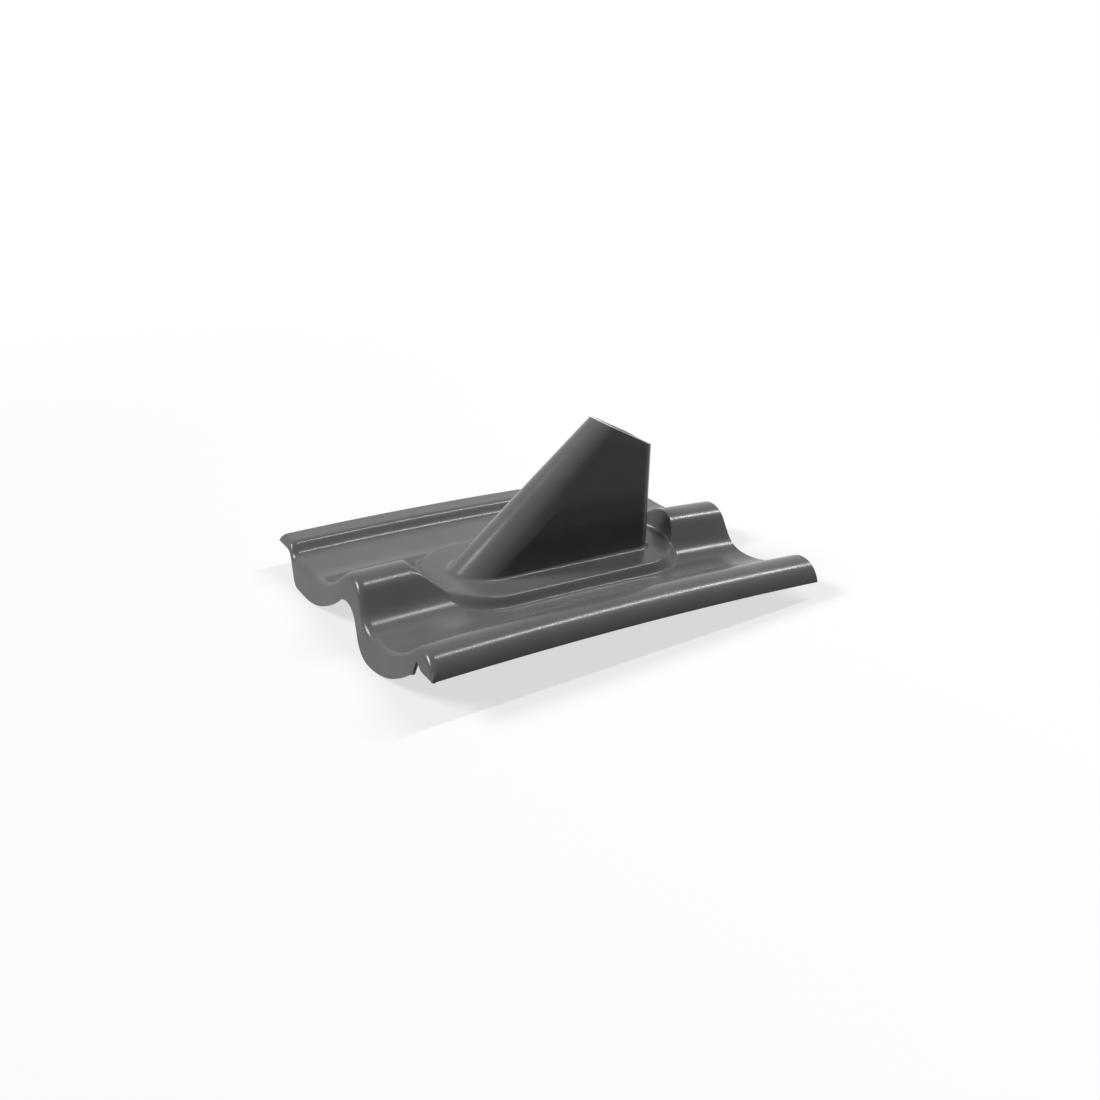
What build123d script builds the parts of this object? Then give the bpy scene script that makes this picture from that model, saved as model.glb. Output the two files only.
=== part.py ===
from build123d import *
import os
from math import asin, atan, cos, degrees, radians, sin, sqrt, tan

# Roof tile with a mast cowl, formed as one sheet of even wall.
# X runs across the slope, Y up the slope from eave to ridge, Z out of the roof, in millimetres.
# Y = 0 is the eave end of the wave and Z = 0 the floor of its troughs until the part is placed at the end.

# Sheet
tile_width = 330.0
tile_length = 420.0
sheet = 3.0
camber = 4.8

# Wave, centred on the crest
crest_height = 34.0
crest_radius = 28.0
left_trough_radius = 100.0
wall_angle = 50.0
wall_foot_radius = 35.0
trough_flat = 1.0

# Cover roll on the right edge
roll_height = 30.0
roll_radius = 26.0
lip_height = 13.0

# Rim shelf on the left edge
rim_height = 10.0
rim_width = 27.0
rim_edge_height = 8.0
rim_step_angle = 42.0
rim_foot_radius = 12.0
rim_corner_inside = 3.0
rim_shoulder_inside = 5.0

# Apron turned down over the eave, cut up to the rim on the left and notched beside the roll
apron_drop = 25.5
apron_lean = 10.0
apron_level = 18.0
apron_bend_radius = 5.0
apron_left_angle = 50.0
hem_corner_radius = 14.0
hem_start = 2.0
notch_offset = 5.5
notch_rise = 4.5
notch_run = 10.0
notch_lean = 12.0

# Platform round the foot of the cowl, a boss over the troughs and a pocket in the crest
platform_level = 14.0
platform_eave_margin = 26.0
platform_side_margin = 31.0
platform_ridge_margin = 34.5
boss_draft = 30.0
boss_edge_radius = 3.0
pocket_draft = 5.0
pocket_eave_draft = 40.0

# Cowl: a cone for a nose between two flat sides and a flat back
cowl_radius = 30.0
cowl_mouth_radius = 19.5
cowl_nose_y = 103.0
cowl_nose_lean = 48.3
cowl_back_y = 317.5
cowl_corner_inside = 7.0
cowl_foot_radius = 5.0
mouth_height = 150.3
mouth_slope = 26.0

# Overrun of cutters and of the masses they trim
reach = 60.0

# Outside radii of the bends
rim_corner_radius = rim_corner_inside + sheet
rim_shoulder_radius = rim_shoulder_inside + sheet
cowl_corner_radius = cowl_corner_inside + sheet

# Roll: its centre, and the angle at which the lip ends it
half_width = tile_width / 2
crest_z = crest_height - crest_radius
roll_z = roll_height - roll_radius
lip_angle = degrees(asin((lip_height - roll_z) / roll_radius))
roll_x = half_width - roll_radius * cos(radians(lip_angle))

# Steep right wall of the crest and step of the rim
wall_top_x = crest_radius * sin(radians(wall_angle))
wall_top_z = crest_z + crest_radius * cos(radians(wall_angle))
wall_foot_x = wall_top_x + wall_top_z / tan(radians(wall_angle))
rim_x = rim_width - half_width
rim_foot_x = rim_x + rim_height / tan(radians(rim_step_angle))
rim_edge_z = rim_height - rim_edge_height

# Troughs: an arc that touches the floor and the crest, and one from the foot of the wall to the roll
left_run = sqrt((left_trough_radius + crest_radius) ** 2 - (left_trough_radius - crest_z) ** 2)
left_rise = degrees(asin(left_run / (left_trough_radius + crest_radius)))
left_trough_x = -left_run
right_trough_x = wall_foot_x + wall_foot_radius * tan(radians(wall_angle / 2)) + trough_flat
right_run = roll_x - right_trough_x
right_trough_radius = (right_run ** 2 + roll_z ** 2 - roll_radius ** 2) / (2 * roll_height)
right_rise = degrees(asin(right_run / (right_trough_radius + roll_radius)))

# Hem: the cut up to the rim and the notch
floor_z = -apron_drop - reach
hem_slope = tan(radians(apron_left_angle))
hem_start_x = rim_x + hem_start
hem_corner_x = hem_start_x + (rim_edge_z + apron_drop) / hem_slope
notch_x = roll_x - notch_offset
notch_top = lip_height + notch_rise

# Long arc of the camber
camber_radius = tile_length ** 2 / (8 * camber) + camber / 2
camber_axis = Axis((0, tile_length / 2, camber - camber_radius), (1, 0, 0))
half_turn = degrees(asin(tile_length / 2 / camber_radius))
over_turn = degrees(reach / camber_radius)

# Cowl: the flat sides lean in to a level line, and the nose line meets it at the tip of the cone
side_lean = atan((cowl_radius - cowl_mouth_radius) / (mouth_height - platform_level))
nose_lean = radians(cowl_nose_lean)
cone_angle = atan(sin(side_lean) * cos(nose_lean) / (1 - sin(side_lean) * sin(nose_lean)))
cone_way = Vector(0, -sin(nose_lean - cone_angle), -cos(nose_lean - cone_angle))
tip_rise = cowl_radius / tan(side_lean)
tip = Vector(0, cowl_nose_y + tip_rise * tan(nose_lean), platform_level + tip_rise)

# Platform: half its width, and the centres of its round ends
platform_half = cowl_radius + platform_side_margin
platform_eave_y = cowl_nose_y - platform_eave_margin + platform_half
platform_ridge_y = cowl_back_y + platform_ridge_margin - platform_half

# Mouth of the cowl, a slope through the top of the nose
mouth_y = cowl_nose_y + (mouth_height - platform_level) * tan(nose_lean)
mouth_up = Vector(0, sin(radians(mouth_slope)), cos(radians(mouth_slope)))
mouth_plane = Plane(origin=(0, mouth_y, mouth_height), x_dir=(1, 0, 0), z_dir=mouth_up)

# Upper line of the wave from rim to lip, and the lower line one sheet under it
with BuildLine() as top_line:
    FilletPolyline(
        (-half_width, rim_edge_z),
        (-half_width, rim_height),
        (rim_x, rim_height),
        (rim_foot_x, 0),
        (left_trough_x, 0),
        radius=(rim_corner_radius, rim_shoulder_radius, rim_foot_radius),
    )
    CenterArc((left_trough_x, left_trough_radius), left_trough_radius, 270, left_rise)
    CenterArc((0, crest_z), crest_radius, 90 + left_rise, -left_rise - wall_angle)
    FilletPolyline((wall_top_x, wall_top_z), (wall_foot_x, 0), (right_trough_x, 0), radius=wall_foot_radius)
    CenterArc((right_trough_x, right_trough_radius), right_trough_radius, 270, right_rise)
    CenterArc((roll_x, roll_z), roll_radius, 90 + right_rise, lip_angle - 90 - right_rise)
with BuildLine() as under_line:
    offset(top_line.wire(), amount=sheet, side=Side.RIGHT, closed=False)


def section_plane(turn):
    """Plane across the tile, turned about the camber axis from mid-length towards the ridge."""
    up = Vector(0, sin(radians(turn)), cos(radians(turn)))
    middle = camber_axis.position + up * camber_radius
    return Plane(origin=middle, x_dir=(1, 0, 0), z_dir=Vector(1, 0, 0).cross(up))


def eave_plane(inset):
    """Leaning face of the apron, moved back into the tile by the inset."""
    facing = Vector(0, -cos(radians(apron_lean)), sin(radians(apron_lean)))
    return Plane(origin=Vector(0, 0, apron_level) - facing * inset, x_dir=(1, 0, 0), z_dir=facing)


def below(line, drop, plane):
    """Area under a wave line that is let down by the drop."""
    with BuildSketch(plane) as area:
        with BuildLine():
            add(line.line.moved(Location((0, -drop, 0))))
            start = line.wire() @ 0 - Vector(0, drop)
            end = line.wire() @ 1 - Vector(0, drop)
            Polyline(end, (end.X, floor_z), (start.X, floor_z), start)
        make_face()
    return area.sketch


def slab_section():
    """Wave as deep as the apron, cut up to the rim edge on the left and to the notch and lip on the right."""
    side = half_width + reach
    with BuildSketch(section_plane(half_turn)) as area:
        add(below(top_line, 0, Plane.XY))
        add(below(top_line, apron_drop, Plane.XY), mode=Mode.SUBTRACT)
        with BuildLine():
            left_cut = FilletPolyline(
                (-side, rim_edge_z),
                (hem_start_x, rim_edge_z),
                (hem_start_x + (rim_edge_z - floor_z) / hem_slope, floor_z),
                radius=hem_corner_radius,
            )
            Polyline(left_cut @ 1, (-side, floor_z), left_cut @ 0)
        make_face(mode=Mode.SUBTRACT)
        with BuildLine():
            Polyline(
                (side, lip_height),
                (notch_x + notch_run, lip_height),
                (notch_x, notch_top),
                (notch_x - (notch_top - floor_z) * tan(radians(notch_lean)), floor_z),
                (side, floor_z),
                close=True,
            )
        make_face(mode=Mode.SUBTRACT)
        fillet(area.vertices().sort_by_distance((hem_corner_x, -apron_drop))[0], hem_corner_radius)
    return area.sketch


def platform_outline(level, spread, eave_spread):
    """Outline of the platform with two half-round ends, widened by the spread and more at the eave end."""
    half = platform_half + spread
    with BuildSketch(Plane.XY.offset(level)) as outline:
        with BuildLine():
            ridge_end = CenterArc((0, platform_ridge_y), half, 0, 180)
            eave_end = CenterArc((0, platform_eave_y - eave_spread), half, 180, 180)
            Line(ridge_end @ 1, eave_end @ 0)
            Line(eave_end @ 1, ridge_end @ 0)
        make_face()
    return outline.sketch


def boss(inset):
    """Tapered block under the platform, made inside the skin by the inset."""
    level = platform_level - inset
    depth = platform_level + apron_drop / 2
    spread = depth * tan(radians(boss_draft))
    foot = platform_outline(level - depth, spread - inset, 0)
    with BuildPart() as block:
        loft([foot, platform_outline(level, -inset, 0)], ruled=True)
    return block.part


def pocket(inset):
    """Space over the platform that is taken out of the crest, with a ramp at its eave end."""
    level = platform_level - inset
    spread = crest_height * tan(radians(pocket_draft))
    ramp = crest_height * tan(radians(pocket_eave_draft)) - spread
    mouth = platform_outline(level + crest_height, spread + inset, ramp)
    with BuildPart() as space:
        loft([platform_outline(level, inset, 0), mouth], ruled=True)
    return space.part


def cowl(inset):
    """Cowl up past its mouth: part of a cone in front of a wedge, flush along the seam."""
    peak = tip + cone_way * (inset / sin(cone_angle))
    seam_way = cone_way + Vector(0, 0, sin(cone_angle) * sin(side_lean))
    seam_slope = seam_way.Y / seam_way.Z
    foot_z = platform_level - inset - sheet
    foot_plane = Plane.XY.offset(foot_z)
    seam_plane = Plane(origin=peak, x_dir=(1, 0, 0), z_dir=Vector(1, 0, 0).cross(seam_way))
    back_y = cowl_back_y - inset
    length = (peak.Z - foot_z + reach) / cos(nose_lean)
    with BuildPart() as nose:
        with BuildSketch(Plane(origin=peak, x_dir=(1, 0, 0), z_dir=Vector(1, 0, 0).cross(cone_way))):
            with BuildLine():
                Polyline((0, 0), (length * tan(cone_angle), length), (0, length), close=True)
            make_face()
        revolve(axis=Axis(peak, cone_way))
        split(bisect_by=seam_plane, keep=Keep.BOTTOM)
        split(bisect_by=foot_plane, keep=Keep.TOP)
    with BuildPart() as horn:
        with BuildSketch(Plane.YZ):
            with BuildLine():
                Polyline(
                    (back_y, foot_z),
                    (back_y, peak.Z - (peak.Y - back_y) / seam_slope),
                    (peak.Y - (peak.Z - foot_z) * seam_slope, foot_z),
                    close=True,
                )
            make_face()
        extrude(amount=cowl_radius + reach, both=True)
        for way in (1, -1):
            side_out = (way * cos(side_lean), 0, sin(side_lean))
            split(bisect_by=Plane(origin=peak, x_dir=(0, 1, 0), z_dir=side_out), keep=Keep.BOTTOM)
        back = horn.faces().sort_by(Axis.Y)[-1]
        fillet(back.edges().filter_by(Axis.X, reverse=True), cowl_corner_radius - inset)
        add(nose.part)
    return horn.part


# Outer form of the tile, with the bend over the eave and the edges of the platform rounded
with BuildPart() as rounded_boss:
    add(boss(0))
    fillet(rounded_boss.faces().sort_by(Axis.Z)[-1].edges(), boss_edge_radius)
with BuildPart() as outer:
    revolve(slab_section(), axis=camber_axis, revolution_arc=2 * half_turn + over_turn)
    split(bisect_by=eave_plane(0), keep=Keep.BOTTOM)
    apron = outer.faces().sort_by(Axis.Y)[0]
    upper = [face for face in outer.faces() if face.normal_at().Z > 0 and face.center().Y > tile_length / 4]
    fillet(apron.edges() & ShapeList(edge for face in upper for edge in face.edges()), apron_bend_radius)
    add(rounded_boss.part)
    add(pocket(0), mode=Mode.SUBTRACT)
    add(cowl(0))
    fillet(outer.edges(Select.NEW), cowl_foot_radius)

# Hollow under the skin
with BuildPart() as hollow:
    hollow_section = below(under_line, 0, section_plane(half_turn + over_turn))
    revolve(hollow_section, axis=camber_axis, revolution_arc=2 * half_turn + 3 * over_turn)
    split(bisect_by=eave_plane(sheet), keep=Keep.BOTTOM)
    add(boss(sheet))
    add(pocket(sheet), mode=Mode.SUBTRACT)
    add(cowl(sheet))

with BuildPart() as shell:
    add(outer.part)
    add(hollow.part, mode=Mode.SUBTRACT)
    split(bisect_by=mouth_plane, keep=Keep.BOTTOM)

# The part stands on the middle of its lowest level
box = shell.part.bounding_box()
with BuildPart() as roof_tile:
    with Locations((-box.center().X, -box.center().Y, -box.min.Z)):
        add(shell.part)

os.makedirs("parts", exist_ok=True)
roof_tile.part.label = "roof_tile"
export_step(roof_tile.part, "parts/roof_tile.step")
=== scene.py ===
import math

import bmesh
import bpy
from mathutils import Matrix, Vector


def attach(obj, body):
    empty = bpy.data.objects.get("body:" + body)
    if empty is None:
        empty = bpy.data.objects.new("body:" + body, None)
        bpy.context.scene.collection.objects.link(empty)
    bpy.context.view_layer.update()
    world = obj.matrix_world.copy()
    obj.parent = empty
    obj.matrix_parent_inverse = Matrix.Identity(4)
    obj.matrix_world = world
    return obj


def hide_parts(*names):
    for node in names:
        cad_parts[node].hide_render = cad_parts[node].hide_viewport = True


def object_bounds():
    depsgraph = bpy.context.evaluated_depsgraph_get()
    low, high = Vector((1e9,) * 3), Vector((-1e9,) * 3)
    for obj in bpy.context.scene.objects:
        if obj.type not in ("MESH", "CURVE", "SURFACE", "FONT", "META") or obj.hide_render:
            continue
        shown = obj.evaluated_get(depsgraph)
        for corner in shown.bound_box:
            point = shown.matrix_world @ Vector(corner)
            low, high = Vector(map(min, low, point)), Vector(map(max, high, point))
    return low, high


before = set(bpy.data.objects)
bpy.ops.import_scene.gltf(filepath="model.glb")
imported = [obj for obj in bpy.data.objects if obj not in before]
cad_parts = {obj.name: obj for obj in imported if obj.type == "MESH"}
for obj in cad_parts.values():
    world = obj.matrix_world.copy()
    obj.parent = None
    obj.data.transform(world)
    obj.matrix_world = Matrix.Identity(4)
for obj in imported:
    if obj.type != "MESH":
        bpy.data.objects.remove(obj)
cad_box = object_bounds()
scene = bpy.context.scene

# Camera, fitted to the photograph: angles in degrees, lengths in metres
CAMERA_AZIMUTH = 55.88
CAMERA_ELEVATION = 24.48
CAMERA_ROLL = 3.92
CAMERA_DISTANCE = 1.1377
CAMERA_TARGET = Vector((0.0, 0.0031, 0.0459))
IMAGE_SIZE = 1100
FOCAL_PIXELS = 1150.79
CENTRE_PIXELS = (545.84, 549.06)
SENSOR_WIDTH = 36.0

# Floor under the hem of the apron and under the ridge end: tilt in degrees, lengths in metres
FLOOR_TILT = 3.05
FLOOR_HALF = 12.0
FLOOR_GAP = 0.0005
# Greys of the floor as it is seen and as it lights the tile
FLOOR_SEEN = (0.8, 0.8, 0.8, 1.0)
FLOOR_BOUNCE = (0.1, 0.1, 0.1, 1.0)
# Share of plain white in the floor next to the tile, and the distances between which it grows to all white
FLOOR_GLOW = 0.68
FLOOR_SHADOW_REACH = (0.5, 1.3)

# Lights: powers, the key's spread in degrees, the strip's sizes and place in metres
WHITE = (1.0, 1.0, 1.0, 1.0)
FILL_STRENGTH = 0.06
KEY_WAY = (0.4, 0.7, -0.59)
KEY_POWER = 3.1
KEY_SPREAD = 20.0
STRIP_PLACE = (-0.08, 2.04, 3.48)
STRIP_SIZE = (0.2, 3.0)
STRIP_POWER = 110.0

# Plastic: its two greys, its roughness between two values, and its peel
PLASTIC_IOR = 1.32
PLASTIC_DARK = (0.094, 0.0953, 0.0975, 1.0)
PLASTIC_LIGHT = (0.108, 0.1095, 0.112, 1.0)
PLASTIC_ROUGHNESS = (0.18, 0.23)
PEEL_STRENGTH = 0.1
PEEL_DEPTH = 0.0003
# Scale and detail of the noise under the tone, the gloss and the peel, and the part of its range in use
TONE_NOISE = (26.0, 6.0)
GLOSS_NOISE = (14.0, 4.0)
PEEL_NOISE = (380.0, 2.0)
NOISE_RANGE = (0.3, 0.7)

# Sizes of the formed skin, in millimetres and degrees: those of the part, with softer edges
SKIN_SIZES = {
    "Tile width": 330.0,
    "Tile length": 420.0,
    "Camber": 4.8,
    "Crest height": 34.0,
    "Crest radius": 28.0,
    "Left trough radius": 100.0,
    "Wall angle": 50.0,
    "Wall foot radius": 35.0,
    "Trough flat": 1.0,
    "Roll height": 30.0,
    "Roll radius": 26.0,
    "Lip height": 13.0,
    "Rim height": 10.0,
    "Rim width": 27.0,
    "Rim edge height": 8.0,
    "Rim step angle": 42.0,
    "Rim corner radius": 6.0,
    "Rim shoulder softness": 4.0,
    "Rim foot softness": 6.0,
    "Apron drop": 25.3,
    "Apron lean": 10.0,
    "Apron level": 18.0,
    "Apron bend radius": 8.0,
    "Apron left angle": 50.0,
    "Hem softness": 12.0,
    "Hem start": 2.0,
    "Notch offset": 5.5,
    "Notch rise": 4.5,
    "Notch run": 10.0,
    "Notch lean": 12.0,
    "Platform level": 14.0,
    "Platform eave margin": 26.0,
    "Platform side margin": 31.0,
    "Platform ridge margin": 34.5,
    "Platform edge softness": 4.0,
    "Boss draft": 30.0,
    "Boss foot softness": 7.0,
    "Pocket draft": 6.0,
    "Pocket eave draft": 40.0,
    "Pocket edge softness": 7.0,
    "Cowl radius": 30.0,
    "Cowl mouth radius": 19.5,
    "Cowl nose": 103.0,
    "Cowl nose lean": 48.3,
    "Cowl back": 317.5,
    "Cowl corner radius": 12.0,
    "Cowl foot run": 4.5,
    "Mouth height": 150.28,
    "Mouth slope": 26.0,
    "Mouth overrun": 6.0,
}
SHEET = 0.003
MILLIMETRE = 0.001
# Start of the skin's sizes in the frame of the part, in metres
SKIN_OFFSET = (0.0, -0.2069073, 0.0258893)

# Half width of the middle of the tile, round the cowl, in millimetres
MIDDLE_HALF = 105.0
# Spokes that run out from the cowl to the middle's edges, and rings round the cowl
SPOKES_ACROSS = 124
SPOKES_ALONG = 64
RINGS_WALL = 8
RINGS_FOOT = 7
RINGS_PLATFORM = 4
RINGS_BOSS = 26
RINGS_WAVE = 24
# Reach of the boss rings inside and outside the platform's outline, in millimetres
BOSS_INSIDE = 5.0
BOSS_OUTSIDE = 15.0
# Columns of the side strips, and rows of the bend and of the apron below it
COLUMNS_STRIP = 60
ROWS_BEND = 10
ROWS_APRON = 6
# Half a ring, for tests of whole ring numbers, and the shares that count as the first and last
HALF_RING = 0.5
FIRST_SHARE = 0.0001
LAST_SHARE = 0.9999
# Turns of the nose's and the round ends' arcs that the end spokes take up, each way
NOSE_TURN = math.radians(60.0)
END_TURN = math.radians(45.0)
QUARTER_TURN = math.pi / 2
# Points closer than this are one, in metres
WELD_DISTANCE = 0.000005
CUT_DISTANCE = 1e-7
# Rounding of the mouth's two edges, in metres, and its steps
RIM_ROUNDING = 0.0009
RIM_STEPS = 3
# Edges that turn more than this many degrees stay sharp
SHARP_ANGLE = 50.0


def photo_camera():
    """Camera at the photograph's viewing angle."""
    azimuth = math.radians(CAMERA_AZIMUTH)
    elevation = math.radians(CAMERA_ELEVATION)
    roll = math.radians(CAMERA_ROLL)
    back = Vector((
        math.sin(azimuth) * math.cos(elevation),
        -math.cos(azimuth) * math.cos(elevation),
        math.sin(elevation),
    ))
    right = Vector((math.cos(azimuth), math.sin(azimuth), 0.0))
    up = back.cross(right)
    across = right * math.cos(roll) + up * math.sin(roll)
    upright = up * math.cos(roll) - right * math.sin(roll)
    data = bpy.data.cameras.new("photo_camera")
    data.sensor_width = SENSOR_WIDTH
    data.lens = data.sensor_width * FOCAL_PIXELS / IMAGE_SIZE
    data.shift_x = (IMAGE_SIZE / 2 - CENTRE_PIXELS[0]) / IMAGE_SIZE
    data.shift_y = (CENTRE_PIXELS[1] - IMAGE_SIZE / 2) / IMAGE_SIZE
    camera = bpy.data.objects.new("photo_camera", data)
    scene.collection.objects.link(camera)
    turn = Matrix((across, upright, back)).transposed()
    camera.matrix_world = Matrix.Translation(CAMERA_TARGET + back * CAMERA_DISTANCE) @ turn.to_4x4()
    scene.camera = camera


class Term:
    """One number in a node tree; Python's signs between terms add math nodes."""

    def __init__(self, tree, socket):
        self.tree = tree
        self.socket = socket

    def __add__(self, other):
        return combine("ADD", self, other)

    __radd__ = __add__

    def __sub__(self, other):
        return combine("SUBTRACT", self, other)

    def __rsub__(self, other):
        return combine("SUBTRACT", other, self)

    def __mul__(self, other):
        return combine("MULTIPLY", self, other)

    __rmul__ = __mul__

    def __truediv__(self, other):
        return combine("DIVIDE", self, other)

    def __neg__(self):
        return combine("MULTIPLY", self, -1.0)

    def __lt__(self, other):
        return combine("LESS_THAN", self, other)

    def __gt__(self, other):
        return combine("GREATER_THAN", self, other)


def feed(tree, socket, value):
    """Puts a term or a plain number into a socket."""
    if isinstance(value, Term):
        tree.links.new(value.socket, socket)
    else:
        socket.default_value = value


def combine(operation, *values):
    """Math node on terms and plain numbers."""
    tree = next(value.tree for value in values if isinstance(value, Term))
    node = tree.nodes.new("ShaderNodeMath")
    node.operation = operation
    for socket, value in zip(node.inputs, values):
        feed(tree, socket, value)
    return Term(tree, node.outputs[0])


def root(a):
    """Square root."""
    return combine("SQRT", a)


def square(a):
    """Second power."""
    return combine("MULTIPLY", a, a)


def sine(a):
    """Sine of an angle in radians."""
    return combine("SINE", a)


def cosine(a):
    """Cosine of an angle in radians."""
    return combine("COSINE", a)


def tangent(a):
    """Tangent of an angle in radians."""
    return combine("TANGENT", a)


def angle(a):
    """Angle in radians, from degrees."""
    return combine("RADIANS", a)


def lesser(a, b):
    """The lesser of two."""
    return combine("MINIMUM", a, b)


def greater(a, b):
    """The greater of two."""
    return combine("MAXIMUM", a, b)


def soft_lesser(a, b, softness):
    """The lesser of two, rounded where they are close."""
    return combine("SMOOTH_MIN", a, b, softness)


def soft_greater(a, b, softness):
    """The greater of two, rounded where they are close."""
    return combine("SMOOTH_MAX", a, b, softness)


def between(a, b, share):
    """From a at share 0 to b at share 1."""
    return a + (b - a) * share


def span(a, start, run):
    """From 0 at the start to 1 at the end of a run, and held there."""
    return lesser(greater((a - start) / run, 0.0), 1.0)


def choose(test, yes, no):
    """One of two terms, by a test that is 1 or 0."""
    node = test.tree.nodes.new("GeometryNodeSwitch")
    node.input_type = "FLOAT"
    feed(test.tree, node.inputs["Switch"], test)
    feed(test.tree, node.inputs["True"], yes)
    feed(test.tree, node.inputs["False"], no)
    return Term(test.tree, node.outputs["Output"])


class Skin:
    """Rules of the formed skin as terms of one tree, from its named sizes."""

    def __init__(self, size):
        self.size = size
        self.half_width = size["Tile width"] / 2
        self.middle = size["Tile length"] / 2
        self.wave_terms()
        self.platform_terms()
        self.cowl_terms()
        self.hem_terms()

    def wave_terms(self):
        """Places on the wave line where one arc passes into the next."""
        size = self.size
        crest = size["Crest radius"]
        roll = size["Roll radius"]
        left = size["Left trough radius"]
        foot = size["Wall foot radius"]
        self.crest_z = size["Crest height"] - crest
        self.roll_z = size["Roll height"] - roll
        self.roll_x = self.half_width - root(square(roll) - square(size["Lip height"] - self.roll_z))
        self.left_run = root(square(left + crest) - square(left - self.crest_z))
        self.crest_start = -self.left_run * crest / (left + crest)
        wall = angle(size["Wall angle"])
        self.wall_slope = tangent(wall)
        self.wall_x = crest * sine(wall)
        self.wall_z = self.crest_z + crest * cosine(wall)
        corner_x = self.wall_x + self.wall_z / self.wall_slope
        foot_run = foot * tangent(wall / 2)
        self.foot_start = corner_x - foot_run * cosine(wall)
        self.foot_end = corner_x + foot_run
        self.right_x = self.foot_end + size["Trough flat"]
        run = self.roll_x - self.right_x
        self.right_radius = (square(run) + square(self.roll_z) - square(roll)) / (size["Roll height"] * 2)
        self.roll_start = self.roll_x - run * roll / (self.right_radius + roll)
        self.rim_x = size["Rim width"] - self.half_width
        self.rim_slope = tangent(angle(size["Rim step angle"]))

    def wave(self, x):
        """Height of the wave over its trough floor at a place across the tile."""
        size = self.size
        crest = size["Crest radius"]
        left = size["Left trough radius"]
        foot = size["Wall foot radius"]
        roll = size["Roll radius"]
        corner = size["Rim corner radius"]
        left_arc = left - root(square(left) - square(greater(x + self.left_run, 0.0)))
        crest_arc = self.crest_z + root(square(crest) - square(x))
        wall_line = self.wall_z - (x - self.wall_x) * self.wall_slope
        foot_arc = foot - root(square(foot) - square(lesser(x - self.foot_end, 0.0)))
        trough = self.right_radius
        right_arc = trough - root(square(trough) - square(greater(x - self.right_x, 0.0)))
        roll_arc = self.roll_z + root(square(roll) - square(x - self.roll_x))
        line = choose(x < self.roll_start, right_arc, roll_arc)
        line = choose(x < self.right_x, foot_arc, line)
        line = choose(x < self.foot_start, wall_line, line)
        line = choose(x < self.wall_x, crest_arc, line)
        line = choose(x < self.crest_start, left_arc, line)
        step = size["Rim height"] - (x - self.rim_x) * self.rim_slope
        shelf = soft_lesser(step, size["Rim height"], size["Rim shoulder softness"])
        turn = lesser(x + self.half_width - corner, 0.0) / corner
        edge = size["Rim height"] - size["Rim edge height"] * (1.0 - root(1.0 - square(turn)))
        rim = lesser(shelf, edge)
        return choose(x < self.rim_x, rim, soft_greater(line, rim, size["Rim foot softness"]))

    def camber(self, y):
        """Rise of the long arc from eave to ridge."""
        return self.size["Camber"] * (1.0 - square((y - self.middle) / self.middle))

    def platform_terms(self):
        """Half width of the platform and the centres of its round ends."""
        size = self.size
        self.platform_half = size["Cowl radius"] + size["Platform side margin"]
        self.eave_centre = size["Cowl nose"] - size["Platform eave margin"] + self.platform_half
        self.ridge_centre = size["Cowl back"] + size["Platform ridge margin"] - self.platform_half

    def past_straight(self, y):
        """How far a place is past the straight sides of the platform, with its sign."""
        return y - lesser(greater(y, self.eave_centre), self.ridge_centre)

    def surface(self, x, y):
        """Height of the skin: the wave, held to the boss from below and to the pocket from above."""
        size = self.size
        past = self.past_straight(y)
        reach = root(square(x) + square(past))
        out = soft_greater(reach - self.platform_half, 0.0, size["Platform edge softness"])
        ramp = greater(-(past / reach), 0.0)
        draft = between(tangent(angle(size["Pocket draft"])), tangent(angle(size["Pocket eave draft"])), ramp)
        low = size["Platform level"] - out / tangent(angle(size["Boss draft"]))
        high = size["Platform level"] + out / draft
        room = high - low
        held = soft_greater(self.wave(x) + self.camber(y), low, lesser(size["Boss foot softness"], room))
        return soft_lesser(held, high, lesser(size["Pocket edge softness"], room))

    def hem_terms(self):
        """Lean of the apron and the places of its cuts."""
        size = self.size
        self.lean = angle(size["Apron lean"])
        self.bend_turn = QUARTER_TURN - self.lean
        self.rim_edge_z = size["Rim height"] - size["Rim edge height"]
        self.hem_slope = tangent(angle(size["Apron left angle"]))
        self.notch_x = self.roll_x - size["Notch offset"]
        self.notch_top = size["Lip height"] + size["Notch rise"]

    def eave(self, x):
        """Wave, hem, radius of the bend and the place where the bend begins, across the tile."""
        size = self.size
        wave = self.wave(x)
        start = self.rim_x + size["Hem start"]
        slant = self.rim_edge_z - (x - start) * self.hem_slope
        cut = soft_lesser(slant, self.rim_edge_z, size["Hem softness"])
        edge = soft_greater(wave - size["Apron drop"], cut, size["Hem softness"])
        notch_side = self.notch_top - (self.notch_x - x) / tangent(angle(size["Notch lean"]))
        notch_roof = self.notch_top - (x - self.notch_x) * size["Notch rise"] / size["Notch run"]
        right = choose(x < self.notch_x, notch_side, greater(notch_roof, size["Lip height"]))
        hem = lesser(greater(edge, right), wave)
        radius = lesser(size["Apron bend radius"], wave - hem)
        corner = tangent(self.lean) * (wave - size["Apron level"])
        return wave, hem, radius, corner + radius * tangent(self.bend_turn / 2)

    def ridge_end(self, wave):
        """Place along the slope of the ridge edge, square to the long arc at its end."""
        end_slope = self.size["Camber"] * 4.0 / self.size["Tile length"]
        return self.size["Tile length"] + wave * end_slope

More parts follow.
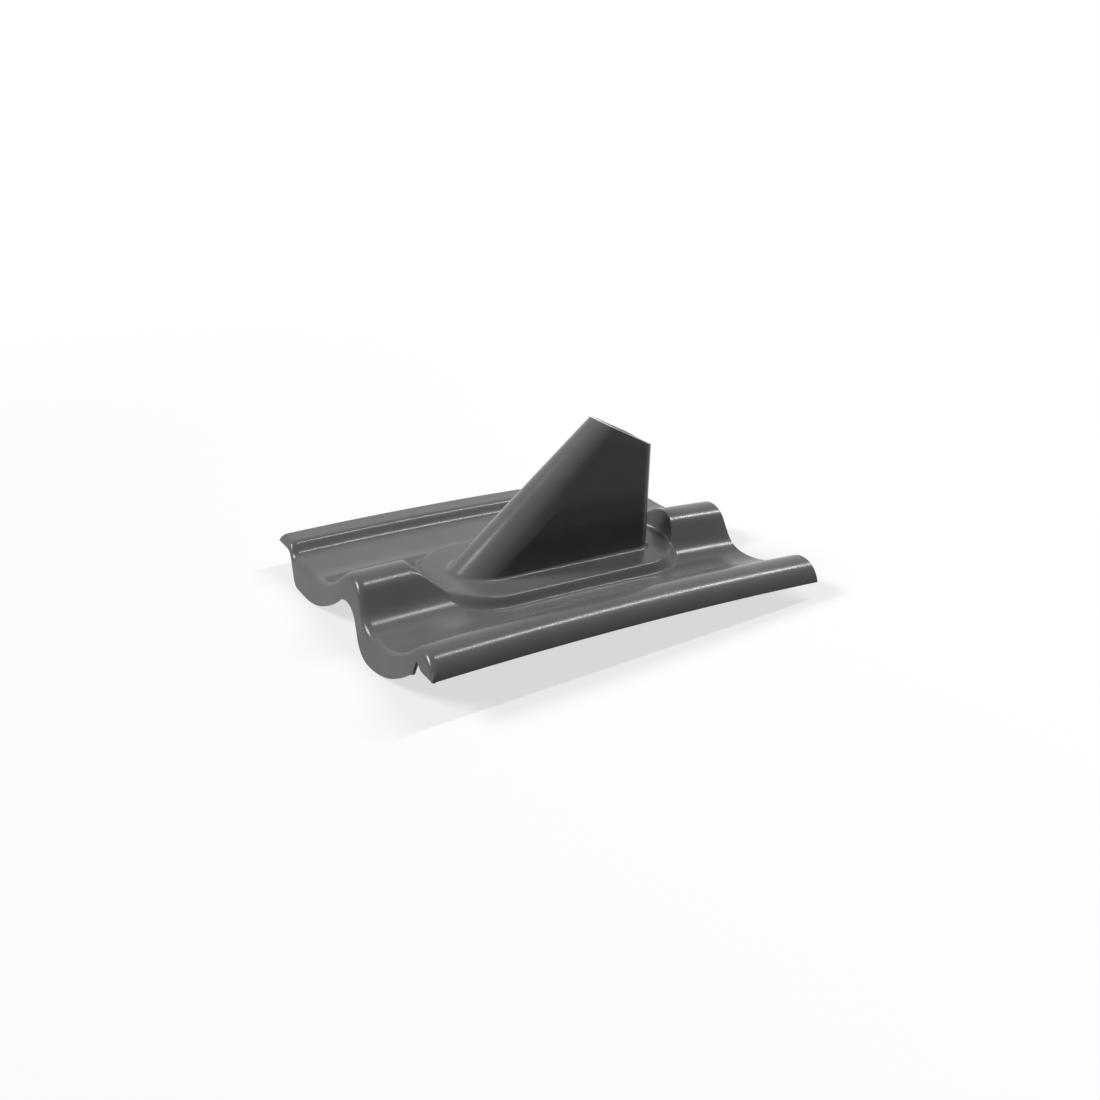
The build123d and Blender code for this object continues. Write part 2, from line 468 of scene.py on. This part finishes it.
    def cowl_terms(self):
        """Tip that the nose and sides of the cowl run to, the oval of its nose, and its mouth."""
        size = self.size
        radius = size["Cowl radius"]
        level = size["Platform level"]
        rise = size["Mouth height"] - level
        self.side_slope = (radius - size["Cowl mouth radius"]) / rise
        self.tip_rise = radius / self.side_slope
        nose = angle(size["Cowl nose lean"])
        side = combine("ARCTANGENT", self.side_slope)
        cone = combine("ARCTANGENT", sine(side) * cosine(nose) / (1.0 - sine(side) * sine(nose)))
        self.tip_y = size["Cowl nose"] + self.tip_rise * tangent(nose)
        far_y = self.tip_y - self.tip_rise * tangent(nose - cone * 2.0)
        self.oval_run = (far_y - size["Cowl nose"]) / 2
        self.oval_y = size["Cowl nose"] + self.oval_run
        self.corner_y = size["Cowl back"] - size["Cowl corner radius"]
        self.corner_x = radius - size["Cowl corner radius"]
        self.mouth_y = size["Cowl nose"] + rise * tangent(nose)
        self.mouth_slope = tangent(angle(size["Mouth slope"]))
        self.seam_mouth_y = self.nose_mouth(radius, self.oval_y)[1]

    def nose_mouth(self, x, y):
        """Where the line from a foot point to the tip of the cone meets the mouth."""
        level = self.size["Platform level"]
        tip_z = level + self.tip_rise
        over = tip_z - self.size["Mouth height"] + (self.tip_y - self.mouth_y) * self.mouth_slope
        share = over / (self.tip_rise + (self.tip_y - y) * self.mouth_slope)
        return x * share, self.tip_y - (self.tip_y - y) * share, tip_z - self.tip_rise * share

    def cowl_mouth(self, x, y):
        """Point on the mouth over a foot point of the cowl."""
        size = self.size
        sign = combine("SIGN", x)
        nose_x, nose_y, nose_z = self.nose_mouth(x, y)
        along = (y - self.oval_y) / (self.corner_y - self.oval_y)
        side_y = between(self.seam_mouth_y, self.corner_y, along)
        mouth_y = choose(self.corner_y < y, y, side_y)
        mouth_z = size["Mouth height"] - (mouth_y - self.mouth_y) * self.mouth_slope
        half = size["Cowl radius"] - (mouth_z - size["Platform level"]) * self.side_slope
        flat = half - size["Cowl corner radius"]
        over = combine("ABSOLUTE", x) - self.corner_x
        round_x = choose(over < 0.0, x * flat / self.corner_x, sign * (flat + over))
        side_x = choose(self.corner_y < y, round_x, sign * half)
        return (
            choose(y < self.oval_y, nose_x, side_x),
            choose(y < self.oval_y, nose_y, mouth_y),
            choose(y < self.oval_y, nose_z, mouth_z),
        )

    def cowl_foot(self, across, along):
        """Point on the foot line of the cowl and the way out from it, for a spoke."""
        size = self.size
        radius = size["Cowl radius"]
        corner = size["Cowl corner radius"]
        swing = (across * 2.0 - 1.0) * NOSE_TURN
        nose_x = radius * sine(swing)
        nose_y = self.oval_y - self.oval_run * cosine(swing)
        side_start = self.oval_y - self.oval_run * math.cos(NOSE_TURN)
        side_end = self.corner_y + corner * math.sin(END_TURN)
        side_y = between(side_start, side_end, along)
        fore = lesser(side_y - self.oval_y, 0.0) / self.oval_run
        aft = greater(side_y - self.corner_y, 0.0)
        side_half = radius * root(1.0 - square(fore)) - corner + root(square(corner) - square(aft))
        side_x = side_half * combine("SIGN", across - 0.5)
        back_x = (self.corner_x + corner * math.cos(END_TURN)) * (across * 2.0 - 1.0)
        back_over = greater(combine("ABSOLUTE", back_x) - self.corner_x, 0.0)
        back_y = self.corner_y + root(square(corner) - square(back_over))
        x = choose(along < FIRST_SHARE, nose_x, choose(along < LAST_SHARE, side_x, back_x))
        y = choose(along < FIRST_SHARE, nose_y, choose(along < LAST_SHARE, side_y, back_y))
        sign = combine("SIGN", x)
        rear_x = sign * greater(combine("ABSOLUTE", x) - self.corner_x, 0.0)
        way_x = choose(y < self.oval_y, x / square(radius), choose(self.corner_y < y, rear_x, x))
        way_y = choose(
            y < self.oval_y, (y - self.oval_y) / square(self.oval_run), greater(y - self.corner_y, 0.0)
        )
        length = root(square(way_x) + square(way_y))
        return x, y, way_x / length, way_y / length

    def platform_edge(self, across, along):
        """Point on the outline of the platform and the way out from it, for a spoke."""
        half = self.platform_half
        swing = (across * 2.0 - 1.0) * END_TURN
        end_x = half * sine(swing)
        end_y = choose(
            along < 0.5, self.eave_centre - half * cosine(swing), self.ridge_centre + half * cosine(swing)
        )
        past_end = half * math.sin(END_TURN)
        side_y = between(self.eave_centre - past_end, self.ridge_centre + past_end, along)
        side_half = root(square(half) - square(self.past_straight(side_y)))
        side_x = side_half * combine("SIGN", across - 0.5)
        at_end = choose(along < FIRST_SHARE, 1.0, along > LAST_SHARE)
        x = choose(at_end, end_x, side_x)
        y = choose(at_end, end_y, side_y)
        return x, y, x / half, self.past_straight(y) / half

    def cowl_ring(self, ring, foot, way, mouth):
        """Point on a spoke up the cowl's wall or round its foot, by the ring."""
        level = self.size["Platform level"]
        run = self.size["Cowl foot run"]
        rise = [end - start for start, end in zip((*foot, level), mouth)]
        length = root(square(rise[0]) + square(rise[1]) + square(rise[2]))
        top = 1.0 + self.size["Mouth overrun"] / length
        up = between(top, run / length, span(ring, 0.0, RINGS_WALL))
        turn = span(ring, RINGS_WALL, RINGS_FOOT)
        point = []
        for start, out, step in zip((*foot, level), (*way, 0.0), rise):
            wall = start + step * up
            bend = start + step * (run / length * square(1.0 - turn)) + out * (run * square(turn))
            point.append(choose(ring < RINGS_WALL + HALF_RING, wall, bend))
        return point

    def spoke_point(self, spoke, ring):
        """Point of the middle of the tile, by spoke and ring."""
        corner = SPOKES_ACROSS + SPOKES_ALONG
        across = span(spoke, 0.0, SPOKES_ACROSS) - span(spoke, corner, SPOKES_ACROSS)
        along = span(spoke, SPOKES_ACROSS, SPOKES_ALONG) - span(spoke, corner + SPOKES_ACROSS, SPOKES_ALONG)
        foot_x, foot_y, foot_way_x, foot_way_y = self.cowl_foot(across, along)
        edge_x, edge_y, way_x, way_y = self.platform_edge(across, along)
        border_x = (across * 2.0 - 1.0) * MIDDLE_HALF
        wave, _, _, bend_y = self.eave(border_x)
        border_y = between(bend_y, self.ridge_end(wave), along)
        run = self.size["Cowl foot run"]
        foot_end = RINGS_WALL + RINGS_FOOT
        flat_end = foot_end + RINGS_PLATFORM
        boss_end = flat_end + RINGS_BOSS
        flat = span(ring, foot_end, RINGS_PLATFORM)
        boss = between(-BOSS_INSIDE, BOSS_OUTSIDE, span(ring, flat_end, RINGS_BOSS))
        outer = span(ring, boss_end, RINGS_WAVE)
        plan = []
        for foot, foot_way, edge, way, border in (
            (foot_x, foot_way_x, edge_x, way_x, border_x),
            (foot_y, foot_way_y, edge_y, way_y, border_y),
        ):
            inside = between(foot + foot_way * run, edge - way * BOSS_INSIDE, flat)
            ring_place = between(edge + way * boss, border, outer)
            plan.append(choose(ring < flat_end + HALF_RING, inside, ring_place))
        height = self.surface(*plan)
        cowl = self.cowl_ring(
            ring, (foot_x, foot_y), (foot_way_x, foot_way_y), self.cowl_mouth(foot_x, foot_y)
        )
        return [choose(ring < foot_end + HALF_RING, low, far) for low, far in zip(cowl, (*plan, height))]

    def strip_point(self, side, column, row):
        """Point of a side strip, from the middle's edge out to the tile's edge."""
        out = sine(span(column, 0.0, COLUMNS_STRIP) * QUARTER_TURN)
        x = (MIDDLE_HALF + (self.half_width - MIDDLE_HALF) * out) * side
        wave, _, _, bend_y = self.eave(x)
        y = between(bend_y, self.ridge_end(wave), row / SPOKES_ALONG)
        return x, y, wave + self.camber(y)

    def apron_point(self, column, row):
        """Point of the bend over the eave and of the apron under it."""
        end = COLUMNS_STRIP + SPOKES_ACROSS
        left = sine((1.0 - span(column, 0.0, COLUMNS_STRIP)) * QUARTER_TURN)
        right = sine(span(column, end, COLUMNS_STRIP) * QUARTER_TURN)
        middle = span(column, COLUMNS_STRIP, SPOKES_ACROSS) * 2.0 - 1.0
        x = middle * MIDDLE_HALF + (right - left) * (self.half_width - MIDDLE_HALF)
        wave, hem, radius, bend_y = self.eave(x)
        turn = self.bend_turn * span(row, 0.0, ROWS_BEND)
        bend_z = wave + self.camber(bend_y) - radius + radius * cosine(turn)
        down = (bend_z - lesser(hem, bend_z)) * span(row, ROWS_BEND, ROWS_APRON)
        return x, bend_y - radius * sine(turn) - down * tangent(self.lean), bend_z - down


def sheet_grid(tree, columns, rows, rule, flip):
    """Grid of points, each set by a rule of its column and row."""
    grid = tree.nodes.new("GeometryNodeMeshGrid")
    for axis, count in (("X", columns), ("Y", rows)):
        grid.inputs["Size " + axis].default_value = count
        grid.inputs["Vertices " + axis].default_value = count + 1
    place = tree.nodes.new("GeometryNodeInputPosition")
    split = tree.nodes.new("ShaderNodeSeparateXYZ")
    tree.links.new(place.outputs["Position"], split.inputs["Vector"])
    column = Term(tree, split.outputs["X"]) + columns / 2
    row = Term(tree, split.outputs["Y"]) + rows / 2
    point = tree.nodes.new("ShaderNodeCombineXYZ")
    for socket, value, offset in zip(point.inputs, rule(column, row), SKIN_OFFSET):
        feed(tree, socket, value * MILLIMETRE + offset)
    move = tree.nodes.new("GeometryNodeSetPosition")
    tree.links.new(grid.outputs["Mesh"], move.inputs["Geometry"])
    tree.links.new(point.outputs["Vector"], move.inputs["Position"])
    if not flip:
        return move.outputs["Geometry"]
    turned = tree.nodes.new("GeometryNodeFlipFaces")
    tree.links.new(move.outputs["Geometry"], turned.inputs["Mesh"])
    return turned.outputs["Mesh"]


def skin_tree(material):
    """Tree of the tile's outer skin: middle round the cowl, two side strips, and the apron."""
    tree = bpy.data.node_groups.new("formed_skin", "GeometryNodeTree")
    tree.interface.new_socket("Geometry", in_out="OUTPUT", socket_type="NodeSocketGeometry")
    tree.interface.new_socket("Geometry", in_out="INPUT", socket_type="NodeSocketGeometry")
    for name, value in SKIN_SIZES.items():
        socket = tree.interface.new_socket(name, in_out="INPUT", socket_type="NodeSocketFloat")
        socket.default_value = value
    entry = tree.nodes.new("NodeGroupInput")
    skin = Skin({name: Term(tree, entry.outputs[name]) for name in SKIN_SIZES})
    spokes = 2 * (SPOKES_ACROSS + SPOKES_ALONG)
    rings = RINGS_WALL + RINGS_FOOT + RINGS_PLATFORM + RINGS_BOSS + RINGS_WAVE
    columns = SPOKES_ACROSS + 2 * COLUMNS_STRIP
    sheets = [
        sheet_grid(tree, spokes, rings, skin.spoke_point, True),
        sheet_grid(tree, COLUMNS_STRIP, SPOKES_ALONG, lambda c, r: skin.strip_point(-1.0, c, r), True),
        sheet_grid(tree, COLUMNS_STRIP, SPOKES_ALONG, lambda c, r: skin.strip_point(1.0, c, r), False),
        sheet_grid(tree, columns, ROWS_BEND + ROWS_APRON, skin.apron_point, True),
    ]
    join = tree.nodes.new("GeometryNodeJoinGeometry")
    for sheet in sheets:
        tree.links.new(sheet, join.inputs["Geometry"])
    weld = tree.nodes.new("GeometryNodeMergeByDistance")
    weld.inputs["Distance"].default_value = WELD_DISTANCE
    smooth = tree.nodes.new("GeometryNodeSetShadeSmooth")
    whole = tree.nodes.new("GeometryNodeRealizeInstances")
    paint = tree.nodes.new("GeometryNodeSetMaterial")
    paint.inputs["Material"].default_value = material
    leave = tree.nodes.new("NodeGroupOutput")
    line = [join, weld, smooth, whole, paint, leave]
    for before, after in zip(line, line[1:]):
        tree.links.new(before.outputs[0], after.inputs[0])
    return tree


def cut_mouth(mesh):
    """Cuts the open top of the cowl level with its mouth and closes the rim between the two skins."""
    slope = math.radians(SKIN_SIZES["Mouth slope"])
    lean = math.radians(SKIN_SIZES["Cowl nose lean"])
    rise = SKIN_SIZES["Mouth height"] - SKIN_SIZES["Platform level"]
    peak = Vector((0.0, SKIN_SIZES["Cowl nose"] + rise * math.tan(lean), SKIN_SIZES["Mouth height"]))
    shell = bmesh.new()
    shell.from_mesh(mesh)
    cut = bmesh.ops.bisect_plane(
        shell,
        geom=[*shell.verts, *shell.edges, *shell.faces],
        plane_co=peak * MILLIMETRE + Vector(SKIN_OFFSET),
        plane_no=(0.0, math.sin(slope), math.cos(slope)),
        clear_outer=True,
        dist=CUT_DISTANCE,
    )
    rim = [item for item in cut["geom_cut"] if isinstance(item, bmesh.types.BMEdge) and item.is_boundary]
    bmesh.ops.bridge_loops(shell, edges=rim)
    bmesh.ops.bevel(
        shell,
        geom=rim,
        offset=RIM_ROUNDING,
        offset_type="OFFSET",
        segments=RIM_STEPS,
        profile=0.5,
        affect="EDGES",
    )
    for face in shell.faces:
        face.smooth = True
    shell.to_mesh(mesh)
    shell.free()


def formed_tile(material):
    """The tile as one formed sheet: the skin, its thickness inwards, and the cut mouth."""
    piece = bpy.data.objects.new("roof_tile_skin", bpy.data.meshes.new("roof_tile_skin"))
    scene.collection.objects.link(piece)
    tree = skin_tree(material)
    form = piece.modifiers.new("formed_skin", "NODES")
    form.node_group = tree
    for item in tree.interface.items_tree:
        if item.in_out == "INPUT" and item.name in SKIN_SIZES:
            form[item.identifier] = SKIN_SIZES[item.name]
    thick = piece.modifiers.new("sheet", "SOLIDIFY")
    thick.thickness = SHEET
    thick.offset = -1.0
    view = bpy.context.evaluated_depsgraph_get()
    plain = bpy.data.meshes.new_from_object(piece.evaluated_get(view))
    piece.modifiers.clear()
    piece.data = plain
    cut_mouth(plain)
    plain.set_sharp_from_angle(angle=math.radians(SHARP_ANGLE))
    return piece


def white_to_view(tree, shown, other):
    """Mixes two shaders: one for what is seen straight or in gloss, one for the light that it gives."""
    path = tree.nodes.new("ShaderNodeLightPath")
    seen = path.outputs["Is Camera Ray"]
    for ray in ("Is Glossy Ray", "Is Transmission Ray"):
        either = tree.nodes.new("ShaderNodeMath")
        either.operation = "MAXIMUM"
        tree.links.new(seen, either.inputs[0])
        tree.links.new(path.outputs[ray], either.inputs[1])
        seen = either.outputs[0]
    mix = tree.nodes.new("ShaderNodeMixShader")
    tree.links.new(seen, mix.inputs["Fac"])
    tree.links.new(other, mix.inputs[1])
    tree.links.new(shown, mix.inputs[2])
    return mix.outputs["Shader"]


def tile_plastic():
    """Dark grey formed plastic with slow changes of tone and gloss and a faint peel."""
    material = bpy.data.materials.new("tile_plastic")
    material.use_nodes = True
    nodes = material.node_tree.nodes
    links = material.node_tree.links
    shader = nodes["Principled BSDF"]
    shader.inputs["IOR"].default_value = PLASTIC_IOR
    place = nodes.new("ShaderNodeTexCoord")

    def noise(scale, detail):
        """Even noise through the tile."""
        texture = nodes.new("ShaderNodeTexNoise")
        texture.inputs["Scale"].default_value = scale
        texture.inputs["Detail"].default_value = detail
        links.new(place.outputs["Object"], texture.inputs["Vector"])
        return texture.outputs["Fac"]

    def spread(value, low, high):
        """Noise between two values."""
        fit = nodes.new("ShaderNodeMapRange")
        fit.inputs["From Min"].default_value = NOISE_RANGE[0]
        fit.inputs["From Max"].default_value = NOISE_RANGE[1]
        fit.inputs["To Min"].default_value = low
        fit.inputs["To Max"].default_value = high
        links.new(value, fit.inputs["Value"])
        return fit.outputs["Result"]

    tone = nodes.new("ShaderNodeMix")
    tone.data_type = "RGBA"
    tone.inputs["A"].default_value = PLASTIC_DARK
    tone.inputs["B"].default_value = PLASTIC_LIGHT
    links.new(spread(noise(*TONE_NOISE), 0.0, 1.0), tone.inputs["Factor"])
    links.new(tone.outputs["Result"], shader.inputs["Base Color"])
    links.new(spread(noise(*GLOSS_NOISE), *PLASTIC_ROUGHNESS), shader.inputs["Roughness"])
    peel = nodes.new("ShaderNodeBump")
    peel.inputs["Strength"].default_value = PEEL_STRENGTH
    peel.inputs["Distance"].default_value = PEEL_DEPTH
    links.new(noise(*PEEL_NOISE), peel.inputs["Height"])
    links.new(peel.outputs["Normal"], shader.inputs["Normal"])
    return material


def pale_floor():
    """White floor that the tile rests on with its hem and its ridge end."""
    half = FLOOR_HALF
    mesh = bpy.data.meshes.new("floor")
    corners = [(-half, -half, 0.0), (half, -half, 0.0), (half, half, 0.0), (-half, half, 0.0)]
    mesh.from_pydata(corners, [], [(0, 1, 2, 3)])
    floor = bpy.data.objects.new("floor", mesh)
    scene.collection.objects.link(floor)
    lowest = cad_box[0]
    floor.matrix_world = (
        Matrix.Translation((0.0, lowest.y, lowest.z - FLOOR_GAP))
        @ Matrix.Rotation(math.radians(FLOOR_TILT), 4, "X")
    )
    material = bpy.data.materials.new("floor_white")
    material.use_nodes = True
    tree = material.node_tree
    shader = tree.nodes["Principled BSDF"]
    shader.inputs["Base Color"].default_value = FLOOR_BOUNCE
    shader.inputs["Roughness"].default_value = 0.9
    shader.inputs["Specular IOR Level"].default_value = 0.0
    pale = tree.nodes.new("ShaderNodeBsdfDiffuse")
    pale.inputs["Color"].default_value = FLOOR_SEEN
    glow = tree.nodes.new("ShaderNodeEmission")
    glow.inputs["Strength"].default_value = 1.0
    paper = tree.nodes.new("ShaderNodeMixShader")
    place = tree.nodes.new("ShaderNodeTexCoord")
    far = tree.nodes.new("ShaderNodeVectorMath")
    far.operation = "LENGTH"
    fade = tree.nodes.new("ShaderNodeMapRange")
    fade.interpolation_type = "SMOOTHSTEP"
    fade.inputs["From Min"].default_value = FLOOR_SHADOW_REACH[0]
    fade.inputs["From Max"].default_value = FLOOR_SHADOW_REACH[1]
    fade.inputs["To Min"].default_value = FLOOR_GLOW
    fade.inputs["To Max"].default_value = 1.0
    tree.links.new(place.outputs["Object"], far.inputs[0])
    tree.links.new(far.outputs["Value"], fade.inputs["Value"])
    tree.links.new(fade.outputs["Result"], paper.inputs["Fac"])
    tree.links.new(pale.outputs["BSDF"], paper.inputs[1])
    tree.links.new(glow.outputs["Emission"], paper.inputs[2])
    tree.links.new(
        white_to_view(tree, paper.outputs["Shader"], shader.outputs["BSDF"]),
        tree.nodes["Material Output"].inputs["Surface"],
    )
    mesh.materials.append(material)


def studio_world():
    """Surround that is white to view and gives a low even light."""
    world = bpy.data.worlds.new("studio")
    world.use_nodes = True
    tree = world.node_tree
    fill = tree.nodes["Background"]
    fill.inputs["Color"].default_value = WHITE
    fill.inputs["Strength"].default_value = FILL_STRENGTH
    white = tree.nodes.new("ShaderNodeBackground")
    white.inputs["Color"].default_value = WHITE
    white.inputs["Strength"].default_value = 1.0
    tree.links.new(
        white_to_view(tree, white.outputs["Background"], fill.outputs["Background"]),
        tree.nodes["World Output"].inputs["Surface"],
    )
    scene.world = world


def key_light():
    """Soft light from the front left."""
    data = bpy.data.lights.new("key_light", "SUN")
    data.energy = KEY_POWER
    data.angle = math.radians(KEY_SPREAD)
    light = bpy.data.objects.new("key_light", data)
    scene.collection.objects.link(light)
    light.rotation_euler = Vector(KEY_WAY).to_track_quat("-Z", "Y").to_euler()


def strip_lamp():
    """Long narrow lamp over the ridge end, for the bright lines along the shoulders."""
    data = bpy.data.lights.new("strip_lamp", "AREA")
    data.shape = "RECTANGLE"
    data.size, data.size_y = STRIP_SIZE
    data.energy = STRIP_POWER
    lamp = bpy.data.objects.new("strip_lamp", data)
    scene.collection.objects.link(lamp)
    lamp.location = STRIP_PLACE
    lamp.rotation_euler = (-lamp.location).to_track_quat("-Z", "Y").to_euler()


photo_camera()
pale_floor()
studio_world()
key_light()
strip_lamp()
scene.view_settings.view_transform = "Standard"

tile = formed_tile(tile_plastic())
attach(tile, "root")
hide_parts("roof_tile")
